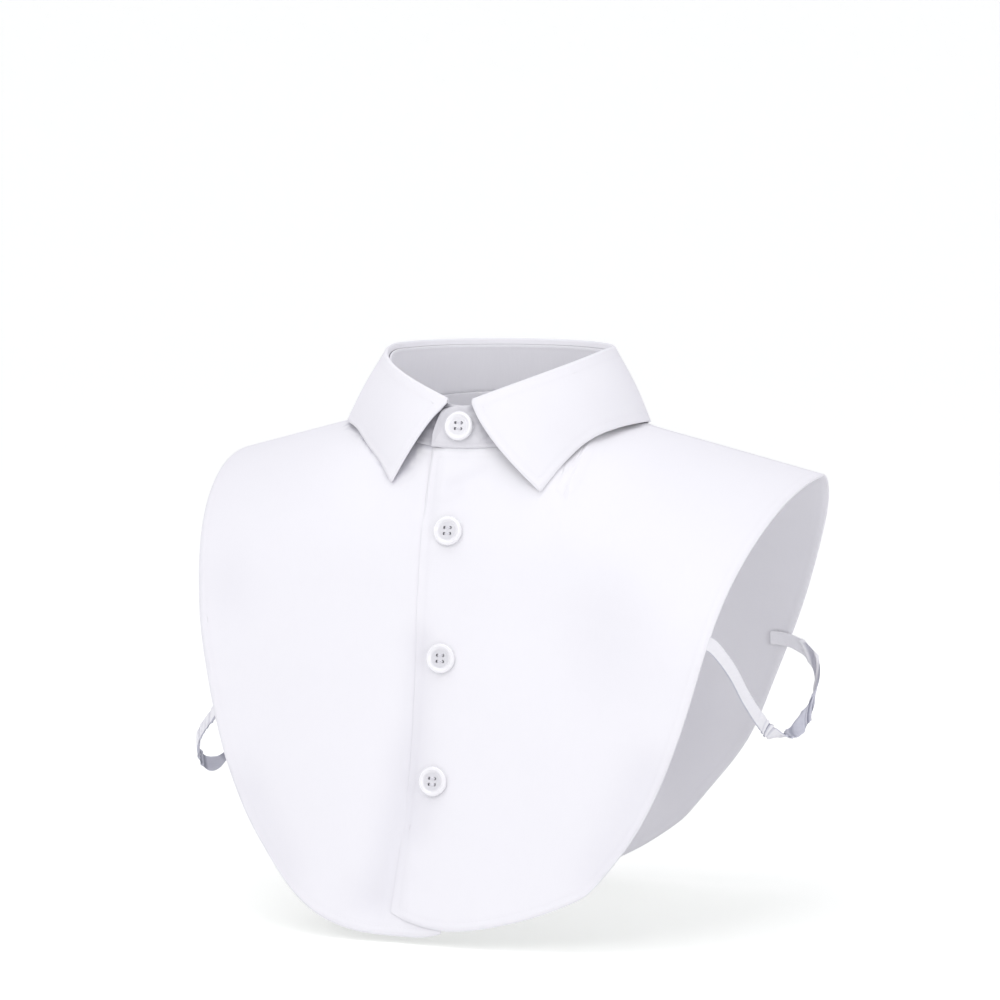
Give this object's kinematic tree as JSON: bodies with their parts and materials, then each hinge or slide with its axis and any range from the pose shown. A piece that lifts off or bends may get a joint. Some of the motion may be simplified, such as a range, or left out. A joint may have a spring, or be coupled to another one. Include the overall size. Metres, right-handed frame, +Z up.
{
  "type": "detachable shirt collar",
  "caption": "False shirt collar: pointed collar on a stand, with a buttoned bib front, a bib back and an elastic loop at each side.",
  "frame": {"origin": "middle of the neck opening, level with the seam that joins the collar stand to the back panel, where the wearer's neck and shoulders hold the collar", "axes": "+Z up, +X to the wearer's left, -Y the way the wearer faces"},
  "size_m": [0.3587, 0.2213, 0.3135],
  "materials": {
    "front_left": "plain woven cotton, matt",
    "front_right": "plain woven cotton, matt",
    "back_panel": "plain woven cotton, matt",
    "collar_stand": "fused cotton, matt",
    "collar_leaf": "fused cotton, matt",
    "strap_left": "knitted elastic tape",
    "strap_right": "knitted elastic tape",
    "button_1": "polished resin",
    "button_2": "polished resin",
    "button_3": "polished resin",
    "button_4": "polished resin"
  },
  "bodies": {
    "root": {"front_left": "front_left", "front_right": "front_right", "back_panel": "back_panel", "collar_stand": "collar_stand", "collar_leaf": "collar_leaf", "strap_left": "strap_left", "strap_right": "strap_right", "button_1": "button_1", "button_2": "button_2", "button_3": "button_3", "button_4": "button_4"}
  },
  "joints": []
}
